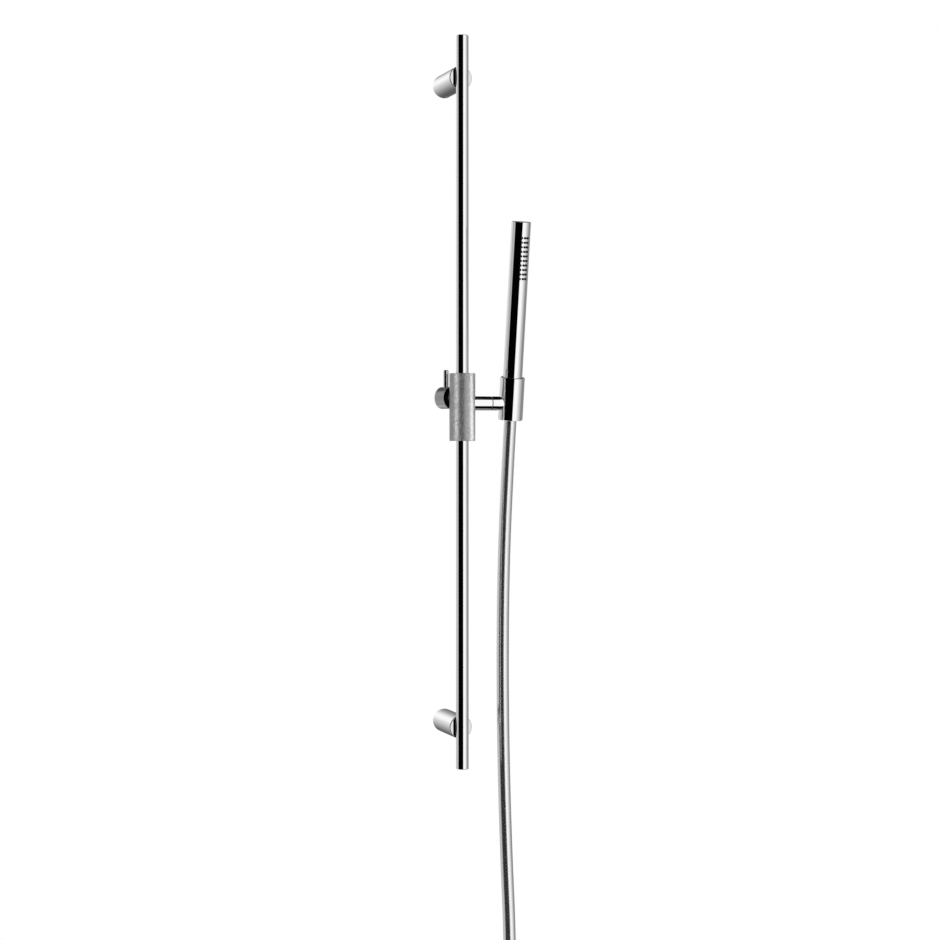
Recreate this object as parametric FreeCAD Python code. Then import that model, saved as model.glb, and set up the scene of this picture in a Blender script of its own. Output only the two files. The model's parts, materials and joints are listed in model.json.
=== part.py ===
import FreeCAD, Part
import math
import os
from collections import namedtuple

os.makedirs("parts", exist_ok=True)

V = FreeCAD.Vector
Axis = namedtuple("Axis", "origin direction")

# Shower slide rail: a round rail on two wall brackets, a clamping slider with a side arm,
# a tilting holder, a stick hand shower and its hose.
# Millimetres. X runs right along the wall, Y into the wall, Z up.
# The origin lies on the wall, midway between the two bracket screws.

# Clearances
CLOSE_FIT = 0.02        # radial, between pieces that are fixed to each other
RUNNING_FIT = 0.05      # radial, between pieces that turn or slide on each other
CLEAR = 0.3             # air between pieces of different bodies
EDGE_BREAK = 0.4        # small chamfer on turned edges
KEY_DEPTH_SHARE = 0.55  # depth of a screw's key socket, as a share of its head
SAME = 1e-6             # lengths closer than this are equal

# Rail
RAIL_DIAMETER = 16.0
RAIL_WALL = 1.5
RAIL_LENGTH = 935.0
RAIL_OVERHANG = 52.5    # rail beyond each bracket's axis
RAIL_FROM_WALL = 76.0   # wall to rail axis
PLUG_CAP = 3.0
PLUG_STEM = 10.0
PLUG_EDGE_RADIUS = 1.0

# Wall brackets
BRACKET_DIAMETER = 30.0
BRACKET_EDGE_RADIUS = 1.2
SADDLE_DEPTH = 2.0      # how deep the rail lies in the bracket's face
ANCHOR_DIAMETER = 24.0
ANCHOR_LENGTH = 30.0
WALL_HOLE_DIAMETER = 5.5
WALL_SCREW_HEAD_DIAMETER = 11.0
ANCHOR_FLOOR = 8.0      # material under the wall screw's head
GROOVE_DEPTH = 1.8
GROOVE_WIDTH = 6.0
GRUB_DIAMETER = 5.0
GRUB_LENGTH = 4.4
GRUB_FROM_WALL = 15.0
GRUB_KEY = 2.5
RAIL_SCREW_DIAMETER = 5.0
RAIL_SCREW_HEAD_DIAMETER = 8.5
RAIL_SCREW_HEAD_HEIGHT = 5.0
RAIL_SCREW_REACH = 7.0  # thread inside the rail
RAIL_SCREW_KEY = 4.0
POCKET_DEPTH = 7.6      # pocket for the rail screw's head behind the anchor
INSERT_DIAMETER = 8.0

# Slider
SLIDER_DIAMETER = 33.0
SLIDER_LENGTH = 86.0
SLIDER_HEIGHT = -5.0    # middle of the slider at rest
RING_DIAMETER = 25.0
RING_THICKNESS = 2.5
BUSH_WALL = 2.5
BUSH_FROM_SHOE = 0.9    # between the clamp shoe and the upper bush
BUSH_END_PLAY = 0.1

# Clamp knob
KNOB_RISE = 12.1        # knob axis above the middle of the slider
KNOB_ANGLE = 120.0      # from the arm, turned towards the wall
KNOB_DIAMETER = 28.0
KNOB_THICKNESS = 17.0
KNOB_EDGE_RADIUS = 2.0
BOSS_DIAMETER = 12.0
BOSS_STAND_OFF = 2.7    # boss face beyond the slider's skin
SPINDLE_DIAMETER = 8.0
SPINDLE_GRIP = 13.5     # spindle inside the knob
SHOE_DIAMETER = 10.0
SHOE_THICKNESS = 4.9
PIN_DIAMETER = 6.8
PIN_LENGTH = 29.7
PIN_SEAT = 6.1          # pin's foot from the knob axis
PIN_TIP_RADIUS = 1.5

# Arm and swivel
ARM_RISE = 5.0          # arm axis above the middle of the slider
ARM_DIAMETER = 18.0
SPIGOT_DIAMETER = 12.0
SPIGOT_DEPTH = 5.4
WASHER_THICKNESS = 0.8
WASHER_INSET = 0.5
SWIVEL_DIAMETER = 6.0
SWIVEL_GRIP = 16.5      # bolt thread inside the arm
SWIVEL_HEAD_DIAMETER = 9.8
SWIVEL_HEAD_HEIGHT = 4.0
SWIVEL_KEY = 4.0
SWIVEL_RECESS = 1.18    # bolt's head behind the holder's bore
STUB_FLOOR = 8.0        # stub material under the bolt's head

# Holder
HOLDER_REACH = 66.3     # rail axis to holder axis
HOLDER_TILT = 9.3       # degrees forward
HOLDER_DIAMETER = 31.3
HOLDER_ABOVE = 34.0     # along its axis, from the arm axis
HOLDER_BELOW = 20.7
HOLDER_LIP = 3.0
LINER_WALL = 1.35
LINER_BORE = 24.8
HOSE_HOLE = 19.2

# Hand shower, heights along the holder's axis from the arm axis
SHOWER_DIAMETER = 24.5
SHOWER_WALL = 1.25
SHOWER_TOP = 232.6
SHOWER_FOOT = 2.0
SHOWER_CAP = 3.0
SHOWER_CAP_STEM = 6.0
SHOULDER = 2.0
PLUG_DEPTH = 18.0       # connector inside the tube
WATERWAY = 10.0
THREAD_DIAMETER = 20.9
THREAD_LENGTH = 10.0
NOZZLE_ROWS = 10
NOZZLE_COLUMNS = (-1, 0, 1)
NOZZLE_PITCH = 5.73
NOZZLE_FROM_TOP = 20.0
NOZZLE_ANGLE = 18.2     # from one column to the next
NOZZLE_DIAMETER = 2.7
NOZZLE_TIP_DIAMETER = 2.3
NOZZLE_PROUD = 1.3
SHOWER_TURN = 7.4       # spray face turned to the right
STRIP_THICKNESS = 1.5
STRIP_ANGLE = 32.0      # half width of the strip
STRIP_MARGIN = 6.0

# Hose and its ends
HOSE_DIAMETER = 16.0
SEAL_THICKNESS = 2.0
FITTING_FLANGE = 2.0
NUT_DIAMETER = 24.0
NUT_NECK = 19.0
NUT_BARREL = 2.5        # straight part above the cone
NUT_LIP = 5.0
END_NUT_FLATS = 24.0
END_NUT_LENGTH = 18.0
END_NUT_BORE = 18.6
END_NUT_RELIEF = 0.5    # radial room for the washer behind the thread
END_WASHER_ROOM = 1.0   # between the washer and the thread
TIE_HEIGHT = 11.0
TIE_THICKNESS = 1.5
BEND_SHARE = 0.45       # share of the shorter run that a bend takes up

# Hose route below the holder: a long bow beside the rail, then one tied fold
HOSE_RUN_OUT = 98.0     # straight out of the holder
HOSE_POINTS = [
    (66.3, -46.5, -215.0),
    (66.3, -43.0, -335.0),
    (66.3, -46.5, -455.0),
    (66.3, -56.5, -575.0),
    (66.3, -72.0, -690.0),
    (66.3, -72.0, -800.0),
    (54.0, -72.0, -872.0),
    (49.0, -72.0, -945.0),
    (48.0, -72.0, -1010.7),
    (84.3, -72.0, -1047.0),
    (135.7, -72.0, -1047.0),
    (172.0, -72.0, -1010.7),
    (168.0, -72.0, -945.0),
    (138.0, -72.0, -880.0),
    (98.0, -72.0, -812.0),
    (89.3, -72.0, -757.0),
    (89.3, -72.0, -727.0),
]
TIE_DOWN_RUN = 4        # first point of the straight run that the tie holds

# Places worked out from the sizes above
RAIL_RADIUS = RAIL_DIAMETER / 2
BRACKET_SPACING = RAIL_LENGTH - 2 * RAIL_OVERHANG
BRACKET_REACH = RAIL_FROM_WALL - RAIL_RADIUS + SADDLE_DEPTH
SLIDER_RADIUS = SLIDER_DIAMETER / 2
SLIDER_BOTTOM = SLIDER_HEIGHT - SLIDER_LENGTH / 2
BUSH_RADIUS = RAIL_RADIUS + RUNNING_FIT + BUSH_WALL
SHOE_TOP = SLIDER_LENGTH / 2 + KNOB_RISE + SHOE_DIAMETER / 2
BUSH_LENGTH = SLIDER_LENGTH - RING_THICKNESS - BUSH_END_PLAY - SHOE_TOP - BUSH_FROM_SHOE
BUSH_BORE_LENGTH = BUSH_LENGTH + 2 * BUSH_END_PLAY
SHOE_FACE = RAIL_RADIUS + CLEAR
SHOE_BACK = SHOE_FACE + SHOE_THICKNESS
BOSS_FACE = SLIDER_RADIUS + BOSS_STAND_OFF
KNOB_FACE = BOSS_FACE + CLEAR
KNOB_BACK = KNOB_FACE + KNOB_THICKNESS
LINER_RADIUS = LINER_BORE / 2 + LINER_WALL
CUP_BORE_RADIUS = LINER_RADIUS + CLOSE_FIT
BOLT_HEAD_FACE = HOLDER_REACH - CUP_BORE_RADIUS - SWIVEL_RECESS
BOLT_SEAT = BOLT_HEAD_FACE - SWIVEL_HEAD_HEIGHT - CLEAR
STUB_FACE = BOLT_SEAT - STUB_FLOOR
SEAM = STUB_FACE - WASHER_THICKNESS - RUNNING_FIT
THREAD_FOOT = SHOWER_FOOT - THREAD_LENGTH
HOSE_START = THREAD_FOOT - SEAL_THICKNESS - FITTING_FLANGE
NUT_FOOT = HOSE_START - NUT_LIP
NUT_TOP = SHOWER_FOOT - EDGE_BREAK / 2
HOSE_RADIUS = HOSE_DIAMETER / 2


def direction_at(angle):
    """Level direction at an angle in degrees from +X, turning towards the wall."""
    return V(math.cos(math.radians(angle)), math.sin(math.radians(angle)), 0)


RAIL_AXIS = Axis(V(0, -RAIL_FROM_WALL, 0), V(0, 0, 1))
SLIDER_AXIS = Axis(V(0, -RAIL_FROM_WALL, SLIDER_BOTTOM), V(0, 0, 1))
KNOB_AXIS = Axis(V(0, -RAIL_FROM_WALL, SLIDER_HEIGHT + KNOB_RISE), direction_at(KNOB_ANGLE))
ARM_AXIS = Axis(V(0, -RAIL_FROM_WALL, SLIDER_HEIGHT + ARM_RISE), V(1, 0, 0))
TILT = math.radians(HOLDER_TILT)
HOLDER_AXIS = Axis(
    ARM_AXIS.origin + ARM_AXIS.direction * HOLDER_REACH,
    V(0, -math.sin(TILT), math.cos(TILT)),
)


def along(axis, distance):
    """Point on an axis."""
    return axis.origin + axis.direction * distance


def turned(axis, profile):
    """Turned solid; the profile's points are (radius, distance along the axis)."""
    points = [V(radius, 0, distance) for radius, distance in profile]
    solid = Part.Face(Part.makePolygon(points + points[:1])).revolve(V(0, 0, 0), V(0, 0, 1), 360)
    solid.Placement = FreeCAD.Placement(axis.origin, FreeCAD.Rotation(V(0, 0, 1), axis.direction))
    return solid


def rod(axis, radius, start, end):
    """Plain round bar between two distances along an axis."""
    return Part.makeCylinder(radius, end - start, along(axis, start), axis.direction)


def ring(axis, inner, outer, start, end):
    """Plain ring between two distances along an axis."""
    return turned(axis, [(inner, start), (outer, start), (outer, end), (inner, end)])


def hex_bar(axis, flats, start, end):
    """Six-sided bar between two distances along an axis."""
    corner = flats / math.sqrt(3)
    points = [direction_at(60 * side) * corner for side in range(7)]
    bar = Part.Face(Part.makePolygon(points)).extrude(V(0, 0, end - start))
    bar.Placement = FreeCAD.Placement(
        along(axis, start), FreeCAD.Rotation(V(0, 0, 1), axis.direction)
    )
    return bar


def capped_bar(axis, radius, start, end):
    """Round bar with a broken edge at its far end, as a turned solid."""
    edge = min(EDGE_BREAK, radius / 4)
    return turned(axis, [(0, start), (radius, start), (radius, end - edge), (radius - edge, end), (0, end)])


def is_circle_at(edge, centre, radius):
    """True for a circular edge of this radius about this point."""
    curve = edge.Curve
    if not isinstance(curve, Part.Circle):
        return False
    return abs(curve.Radius - radius) < SAME and curve.Center.distanceToPoint(centre) < SAME


def rounded(solid, centre, radius, edge_radius):
    """Solid with the round edge of this radius about this point rounded off."""
    return solid.makeFillet(edge_radius, [edge for edge in solid.Edges if is_circle_at(edge, centre, radius)])


def keyed_screw(axis, shank, shank_end, head, head_start, head_end, key):
    """Cap screw whose socket opens at head_start."""
    screw = turned(axis, [
        (0, head_start), (head, head_start), (head, head_end),
        (shank, head_end), (shank, shank_end), (0, shank_end),
    ])
    low, high = sorted((head_start, head_start + (head_end - head_start) * KEY_DEPTH_SHARE))
    return screw.cut(hex_bar(axis, key, low, high))


def bracket_axis(height):
    """Axis of a wall bracket, from the wall towards the rail."""
    return Axis(V(0, 0, height), V(0, -1, 0))


def rail_tube():
    half = RAIL_LENGTH / 2 - PLUG_CAP
    tube = ring(RAIL_AXIS, RAIL_RADIUS - RAIL_WALL, RAIL_RADIUS, -half, half)
    for height in (-BRACKET_SPACING / 2, BRACKET_SPACING / 2):
        hole_radius = INSERT_DIAMETER / 2 + CLOSE_FIT
        start = BRACKET_REACH - 2 * SADDLE_DEPTH
        tube = tube.cut(rod(bracket_axis(height), hole_radius, start, RAIL_FROM_WALL))
    return tube


def rail_plug(end):
    """Flush plug; end is +1 at the top of the rail and -1 at its foot."""
    axis = Axis(RAIL_AXIS.origin, RAIL_AXIS.direction * end)
    top = RAIL_LENGTH / 2
    stem = RAIL_RADIUS - RAIL_WALL - CLOSE_FIT
    plug = turned(axis, [
        (0, top - PLUG_CAP - PLUG_STEM), (stem, top - PLUG_CAP - PLUG_STEM), (stem, top - PLUG_CAP),
        (RAIL_RADIUS, top - PLUG_CAP), (RAIL_RADIUS, top), (0, top),
    ])
    return rounded(plug, along(axis, top), RAIL_RADIUS, PLUG_EDGE_RADIUS)


def bracket_post(height):
    axis = bracket_axis(height)
    radius = BRACKET_DIAMETER / 2
    socket = ANCHOR_DIAMETER / 2 + RUNNING_FIT
    pocket = RAIL_SCREW_HEAD_DIAMETER / 2 + CLEAR
    hole = RAIL_SCREW_DIAMETER / 2 + CLOSE_FIT
    floor = ANCHOR_LENGTH + CLEAR
    post = turned(axis, [
        (socket, 0), (radius, 0), (radius, BRACKET_REACH), (hole, BRACKET_REACH),
        (hole, floor + POCKET_DEPTH), (pocket, floor + POCKET_DEPTH), (pocket, floor), (socket, floor),
    ])
    post = rounded(post, along(axis, BRACKET_REACH), radius, BRACKET_EDGE_RADIUS)
    reach = BRACKET_DIAMETER
    saddle = rod(RAIL_AXIS, RAIL_RADIUS + CLOSE_FIT, height - reach, height + reach)
    grub_hole = rod(grub_axis(height), GRUB_DIAMETER / 2 + CLOSE_FIT, 0, radius)
    return post.cut(saddle).cut(grub_hole)


def grub_axis(height):
    """Axis of the locking screw, from the bracket's axis straight down."""
    return Axis(V(0, -GRUB_FROM_WALL, height), V(0, 0, -1))


def wall_anchor(height):
    radius = ANCHOR_DIAMETER / 2
    groove = radius - GROOVE_DEPTH
    half_width = GROOVE_WIDTH / 2
    hole = WALL_HOLE_DIAMETER / 2
    head = WALL_SCREW_HEAD_DIAMETER / 2
    return turned(bracket_axis(height), [
        (hole, 0), (radius, 0), (radius, GRUB_FROM_WALL - half_width - GROOVE_DEPTH),
        (groove, GRUB_FROM_WALL - half_width), (groove, GRUB_FROM_WALL + half_width),
        (radius, GRUB_FROM_WALL + half_width + GROOVE_DEPTH), (radius, ANCHOR_LENGTH),
        (head, ANCHOR_LENGTH), (head, ANCHOR_FLOOR), (hole, ANCHOR_FLOOR),
    ])


def grub_screw(height):
    axis = grub_axis(height)
    start = ANCHOR_DIAMETER / 2 - GROOVE_DEPTH
    end = start + GRUB_LENGTH
    screw = capped_bar(axis, GRUB_DIAMETER / 2, start, end)
    return screw.cut(hex_bar(axis, GRUB_KEY, end - GRUB_LENGTH / 2, end))


def rail_screw(height):
    seat = ANCHOR_LENGTH + CLEAR + POCKET_DEPTH
    tip = RAIL_FROM_WALL - RAIL_RADIUS + RAIL_SCREW_REACH
    return keyed_screw(
        bracket_axis(height), RAIL_SCREW_DIAMETER / 2, tip,
        RAIL_SCREW_HEAD_DIAMETER / 2, seat - RAIL_SCREW_HEAD_HEIGHT, seat, RAIL_SCREW_KEY,
    )


def rail_insert(height):
    axis = bracket_axis(height)
    inner = RAIL_SCREW_DIAMETER / 2 + CLOSE_FIT
    body = ring(axis, inner, INSERT_DIAMETER / 2, BRACKET_REACH - 2 * SADDLE_DEPTH, RAIL_FROM_WALL)
    return body.common(rod(RAIL_AXIS, RAIL_RADIUS, height - INSERT_DIAMETER, height + INSERT_DIAMETER))


def slider_sleeve():
    recess = RING_DIAMETER / 2
    bush = BUSH_RADIUS + RUNNING_FIT
    bore = RAIL_RADIUS + CLEAR + EDGE_BREAK
    ring_top = SLIDER_LENGTH - RING_THICKNESS
    sleeve = turned(SLIDER_AXIS, [
        (recess, 0), (SLIDER_RADIUS - EDGE_BREAK, 0), (SLIDER_RADIUS, EDGE_BREAK),
        (SLIDER_RADIUS, SLIDER_LENGTH - EDGE_BREAK), (SLIDER_RADIUS - EDGE_BREAK, SLIDER_LENGTH),
        (recess, SLIDER_LENGTH), (recess, ring_top), (bush, ring_top),
        (bush, ring_top - BUSH_BORE_LENGTH), (bore, ring_top - BUSH_BORE_LENGTH),
        (bore, RING_THICKNESS + BUSH_BORE_LENGTH), (bush, RING_THICKNESS + BUSH_BORE_LENGTH),
        (bush, RING_THICKNESS), (recess, RING_THICKNESS),
    ])
    boss = rod(KNOB_AXIS, BOSS_DIAMETER / 2, BUSH_RADIUS + BUSH_WALL, BOSS_FACE)
    sleeve = sleeve.fuse(boss).removeSplitter()
    spindle_hole = rod(KNOB_AXIS, SPINDLE_DIAMETER / 2 + RUNNING_FIT, 0, BOSS_FACE)
    shoe_pocket = rod(KNOB_AXIS, SHOE_DIAMETER / 2 + RUNNING_FIT, 0, SHOE_BACK + CLEAR)
    spigot_hole = rod(ARM_AXIS, SPIGOT_DIAMETER / 2 + CLOSE_FIT, SLIDER_RADIUS - SPIGOT_DEPTH, SLIDER_RADIUS)
    return sleeve.cut(spindle_hole).cut(shoe_pocket).cut(spigot_hole)


def slider_ring(start):
    """End ring that keeps a glide bush in the slider; start is its lower face."""
    inner = RAIL_RADIUS + CLEAR + RUNNING_FIT
    return ring(SLIDER_AXIS, inner, RING_DIAMETER / 2 - CLOSE_FIT, start, start + RING_THICKNESS)


def glide_bush(start):
    return ring(SLIDER_AXIS, RAIL_RADIUS + RUNNING_FIT, BUSH_RADIUS, start, start + BUSH_LENGTH)


def clamp_shoe():
    block = rod(KNOB_AXIS, SHOE_DIAMETER / 2, RAIL_RADIUS / 2, SHOE_BACK)
    reach = SLIDER_DIAMETER
    return block.cut(rod(RAIL_AXIS, SHOE_FACE, KNOB_AXIS.origin.z - reach, KNOB_AXIS.origin.z + reach))


def clamp_spindle():
    radius = SPINDLE_DIAMETER / 2
    tip = SHOE_BACK + RUNNING_FIT
    return turned(KNOB_AXIS, [
        (0, tip), (radius - 2 * EDGE_BREAK, tip), (radius, tip + 2 * EDGE_BREAK),
        (radius, KNOB_FACE + SPINDLE_GRIP), (0, KNOB_FACE + SPINDLE_GRIP),
    ])


def knob_pin_axis():
    """Axis of the pin lever, up from the middle of the knob."""
    return Axis(along(KNOB_AXIS, (KNOB_FACE + KNOB_BACK) / 2), V(0, 0, 1))


def clamp_knob():
    radius = KNOB_DIAMETER / 2
    bore = SPINDLE_DIAMETER / 2 + CLOSE_FIT
    bottom = KNOB_FACE + SPINDLE_GRIP + CLEAR
    knob = turned(KNOB_AXIS, [
        (bore, KNOB_FACE), (radius - EDGE_BREAK, KNOB_FACE), (radius, KNOB_FACE + EDGE_BREAK),
        (radius, KNOB_BACK), (0, KNOB_BACK), (0, bottom), (bore, bottom),
    ])
    knob = rounded(knob, along(KNOB_AXIS, KNOB_BACK), radius, KNOB_EDGE_RADIUS)
    return knob.cut(rod(knob_pin_axis(), PIN_DIAMETER / 2 + CLOSE_FIT, PIN_SEAT - RUNNING_FIT, radius))


def knob_pin():
    axis = knob_pin_axis()
    end = PIN_SEAT + PIN_LENGTH
    pin = rod(axis, PIN_DIAMETER / 2, PIN_SEAT, end)
    return rounded(pin, along(axis, end), PIN_DIAMETER / 2, PIN_TIP_RADIUS)


def holder_arm():
    radius = ARM_DIAMETER / 2
    reach = SLIDER_DIAMETER
    bar = capped_bar(ARM_AXIS, radius, SLIDER_RADIUS - SPIGOT_DEPTH, SEAM)
    skin = rod(RAIL_AXIS, SLIDER_RADIUS + CLOSE_FIT, ARM_AXIS.origin.z - reach, ARM_AXIS.origin.z + reach)
    spigot = rod(ARM_AXIS, SPIGOT_DIAMETER / 2, SLIDER_RADIUS - SPIGOT_DEPTH + CLOSE_FIT, SEAM - SWIVEL_GRIP)
    arm = bar.cut(skin).fuse(spigot).removeSplitter()
    return arm.cut(rod(ARM_AXIS, SWIVEL_DIAMETER / 2 + CLOSE_FIT, SEAM - SWIVEL_GRIP - CLEAR, SEAM))


def friction_washer():
    outer = ARM_DIAMETER / 2 - WASHER_INSET
    return ring(ARM_AXIS, SWIVEL_DIAMETER / 2 + CLEAR, outer, SEAM, SEAM + WASHER_THICKNESS)


def swivel_bolt():
    return keyed_screw(
        ARM_AXIS, SWIVEL_DIAMETER / 2, SEAM - SWIVEL_GRIP,
        SWIVEL_HEAD_DIAMETER / 2, BOLT_HEAD_FACE, BOLT_SEAT + CLEAR, SWIVEL_KEY,
    )


def holder_cup():
    radius = HOLDER_DIAMETER / 2
    lip = -HOLDER_BELOW + HOLDER_LIP
    cup = turned(HOLDER_AXIS, [
        (0, -HOLDER_BELOW), (radius - EDGE_BREAK, -HOLDER_BELOW), (radius, -HOLDER_BELOW + EDGE_BREAK),
        (radius, HOLDER_ABOVE - EDGE_BREAK), (radius - EDGE_BREAK, HOLDER_ABOVE), (0, HOLDER_ABOVE),
    ])
    stub = rod(ARM_AXIS, ARM_DIAMETER / 2, STUB_FACE, HOLDER_REACH)
    cup = cup.fuse(stub).removeSplitter()
    cup = cup.cut(rod(HOLDER_AXIS, CUP_BORE_RADIUS, lip, HOLDER_ABOVE))
    cup = cup.cut(rod(HOLDER_AXIS, HOSE_HOLE / 2, -HOLDER_BELOW, lip))
    cup = cup.cut(rod(ARM_AXIS, SWIVEL_DIAMETER / 2 + RUNNING_FIT, STUB_FACE, HOLDER_REACH))
    return cup.cut(rod(ARM_AXIS, SWIVEL_HEAD_DIAMETER / 2 + CLEAR, BOLT_SEAT, HOLDER_REACH))


def holder_liner():
    foot = -HOLDER_BELOW + HOLDER_LIP + CLOSE_FIT
    top = HOLDER_ABOVE - EDGE_BREAK
    bore = LINER_BORE / 2
    cone_top = NUT_TOP - NUT_BARREL
    seat = (LINER_BORE - NUT_DIAMETER) / 2
    neck = NUT_NECK / 2 + seat
    return turned(HOLDER_AXIS, [
        (neck, foot), (LINER_RADIUS, foot), (LINER_RADIUS, top),
        (bore, top), (bore, cone_top), (neck, NUT_FOOT),
    ])


def hand_shower_tube():
    outer = SHOWER_DIAMETER / 2
    foot = SHOWER_FOOT + SHOULDER
    tube = ring(HOLDER_AXIS, outer - SHOWER_WALL, outer, foot, SHOWER_TOP - SHOWER_CAP)
    for axis in nozzle_axes():
        tube = tube.cut(rod(axis, NOZZLE_DIAMETER / 2 + CLOSE_FIT, outer / 2, SHOWER_DIAMETER))
    return tube


def nozzle_axes():
    """Outward axes of the spray nozzles, in columns about the middle of the spray face."""
    axes = []
    for column in NOZZLE_COLUMNS:
        turn = SHOWER_TURN + column * NOZZLE_ANGLE
        outward = FreeCAD.Rotation(HOLDER_AXIS.direction, turn).multVec(holder_front())
        for row in range(NOZZLE_ROWS):
            height = SHOWER_TOP - NOZZLE_FROM_TOP - row * NOZZLE_PITCH
            axes.append(Axis(along(HOLDER_AXIS, height), outward))
    return axes


def holder_front():
    """Direction straight to the front, square to the holder's axis."""
    return V(0, -math.cos(TILT), -math.sin(TILT))


def nozzle_strip():
    outer = SHOWER_DIAMETER / 2 - SHOWER_WALL - CLOSE_FIT
    inner = outer - STRIP_THICKNESS
    top = SHOWER_TOP - NOZZLE_FROM_TOP + STRIP_MARGIN
    foot = SHOWER_TOP - NOZZLE_FROM_TOP - (NOZZLE_ROWS - 1) * NOZZLE_PITCH - STRIP_MARGIN
    corners = [V(inner, 0, foot), V(outer, 0, foot), V(outer, 0, top), V(inner, 0, top)]
    section = Part.Face(Part.makePolygon(corners + corners[:1]))
    strip = section.revolve(V(0, 0, 0), V(0, 0, 1), 2 * STRIP_ANGLE)
    front_first = FreeCAD.Rotation(V(0, 0, 1), -90 - STRIP_ANGLE + SHOWER_TURN)
    lean = FreeCAD.Rotation(V(1, 0, 0), HOLDER_TILT)
    strip.Placement = FreeCAD.Placement(HOLDER_AXIS.origin, lean * front_first)
    skin = SHOWER_DIAMETER / 2
    tip = skin + NOZZLE_PROUD
    for axis in nozzle_axes():
        strip = strip.fuse(turned(axis, [
            (0, (inner + outer) / 2), (NOZZLE_DIAMETER / 2, (inner + outer) / 2), (NOZZLE_DIAMETER / 2, skin),
            (NOZZLE_TIP_DIAMETER / 2, tip), (0, tip),
        ]))
    return strip.removeSplitter()


def hand_shower_cap():
    outer = SHOWER_DIAMETER / 2
    stem = outer - SHOWER_WALL - CLOSE_FIT
    seat = SHOWER_TOP - SHOWER_CAP
    return turned(HOLDER_AXIS, [
        (0, seat - SHOWER_CAP_STEM), (stem, seat - SHOWER_CAP_STEM), (stem, seat), (outer, seat),
        (outer, SHOWER_TOP - EDGE_BREAK), (outer - EDGE_BREAK, SHOWER_TOP), (0, SHOWER_TOP),
    ])


def hand_shower_connector():
    outer = SHOWER_DIAMETER / 2
    stem = outer - SHOWER_WALL - CLOSE_FIT
    shoulder_top = SHOWER_FOOT + SHOULDER
    return turned(HOLDER_AXIS, [
        (WATERWAY / 2, THREAD_FOOT), (THREAD_DIAMETER / 2, THREAD_FOOT), (THREAD_DIAMETER / 2, SHOWER_FOOT),
        (outer, SHOWER_FOOT), (outer, shoulder_top), (stem, shoulder_top),
        (stem, shoulder_top + PLUG_DEPTH), (WATERWAY / 2, shoulder_top + PLUG_DEPTH),
    ])


def hose_seal():
    bore = THREAD_DIAMETER / 2 - CLEAR
    return ring(HOLDER_AXIS, WATERWAY / 2, bore, THREAD_FOOT - SEAL_THICKNESS, THREAD_FOOT)


def hose_upper_fitting():
    outer = THREAD_DIAMETER / 2 - CLEAR
    return ring(HOLDER_AXIS, WATERWAY / 2, outer, HOSE_START, HOSE_START + FITTING_FLANGE)


def cone_nut():
    cone_top = NUT_TOP - NUT_BARREL
    thread = THREAD_DIAMETER / 2 + CLOSE_FIT
    neck = HOSE_RADIUS + CLEAR
    return turned(HOLDER_AXIS, [
        (neck, NUT_FOOT), (NUT_NECK / 2, NUT_FOOT), (NUT_DIAMETER / 2, cone_top),
        (NUT_DIAMETER / 2, NUT_TOP), (thread, NUT_TOP), (thread, HOSE_START), (neck, HOSE_START),
    ])


def hose_route():
    """Corner points of the hose, from the fitting in the holder to the loose end."""
    start = along(HOLDER_AXIS, HOSE_START)
    return [start, start - HOLDER_AXIS.direction * HOSE_RUN_OUT] + [V(*point) for point in HOSE_POINTS]


def rounded_path(points):
    """Straight runs joined by tangent arcs through a list of corner points.

    Returns the wire and the radius of each arc."""
    edges = []
    radii = []
    last = points[0]
    for before, corner, after in zip(points, points[1:], points[2:]):
        back, ahead = before - corner, after - corner
        tangent = BEND_SHARE * min(back.Length, ahead.Length)
        half_turn = (math.pi - back.getAngle(ahead)) / 2
        radius = tangent / math.tan(half_turn)
        back.normalize()
        ahead.normalize()
        start, end = corner + back * tangent, corner + ahead * tangent
        inward = (back + ahead).normalize()
        middle = corner + inward * (radius / math.cos(half_turn) - radius)
        edges.append(Part.LineSegment(last, start).toShape())
        edges.append(Part.Arc(start, middle, end).toShape())
        radii.append(radius)
        last = end
    edges.append(Part.LineSegment(last, points[-1]).toShape())
    return Part.Wire(edges), radii


def hose_tube():
    points = hose_route()
    path, radii = rounded_path(points)
    section = Part.Wire(Part.makeCircle(HOSE_RADIUS, points[0], points[1] - points[0]))
    hose = path.makePipeShell([section], True, False)
    expected = math.pi * HOSE_RADIUS ** 2 * path.Length
    print("hose length", round(path.Length, 1))
    print("hose volume over section times length", round(hose.Volume / expected, 5))
    print("hose bend radii", [round(radius) for radius in radii])
    return hose


def hose_tie():
    """Strap round the two runs of the fold."""
    down = V(*HOSE_POINTS[TIE_DOWN_RUN])
    below = V(*HOSE_POINTS[TIE_DOWN_RUN + 1])
    up = V(*HOSE_POINTS[-1])
    foot = (down.z + below.z) / 2 - TIE_HEIGHT / 2
    inner = strap_bar(down, up, HOSE_RADIUS + CLEAR, foot)
    return strap_bar(down, up, HOSE_RADIUS + CLEAR + TIE_THICKNESS, foot).cut(inner)


def strap_bar(first, second, radius, foot):
    """Upright bar whose section wraps two equal circles that lie side by side along X."""
    a, b = V(first.x, first.y, foot), V(second.x, second.y, foot)
    side = V(0, radius, 0)
    outline = Part.Wire([
        Part.LineSegment(a - side, b - side).toShape(),
        Part.Arc(b - side, b + V(radius, 0, 0), b + side).toShape(),
        Part.LineSegment(b + side, a + side).toShape(),
        Part.Arc(a + side, a - V(radius, 0, 0), a - side).toShape(),
    ])
    return Part.Face(outline).extrude(V(0, 0, TIE_HEIGHT))


def hose_end_axis():
    """Axis of the loose end, straight on from the hose's last run."""
    last, before = V(*HOSE_POINTS[-1]), V(*HOSE_POINTS[-2])
    return Axis(last, (last - before).normalize())


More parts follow.
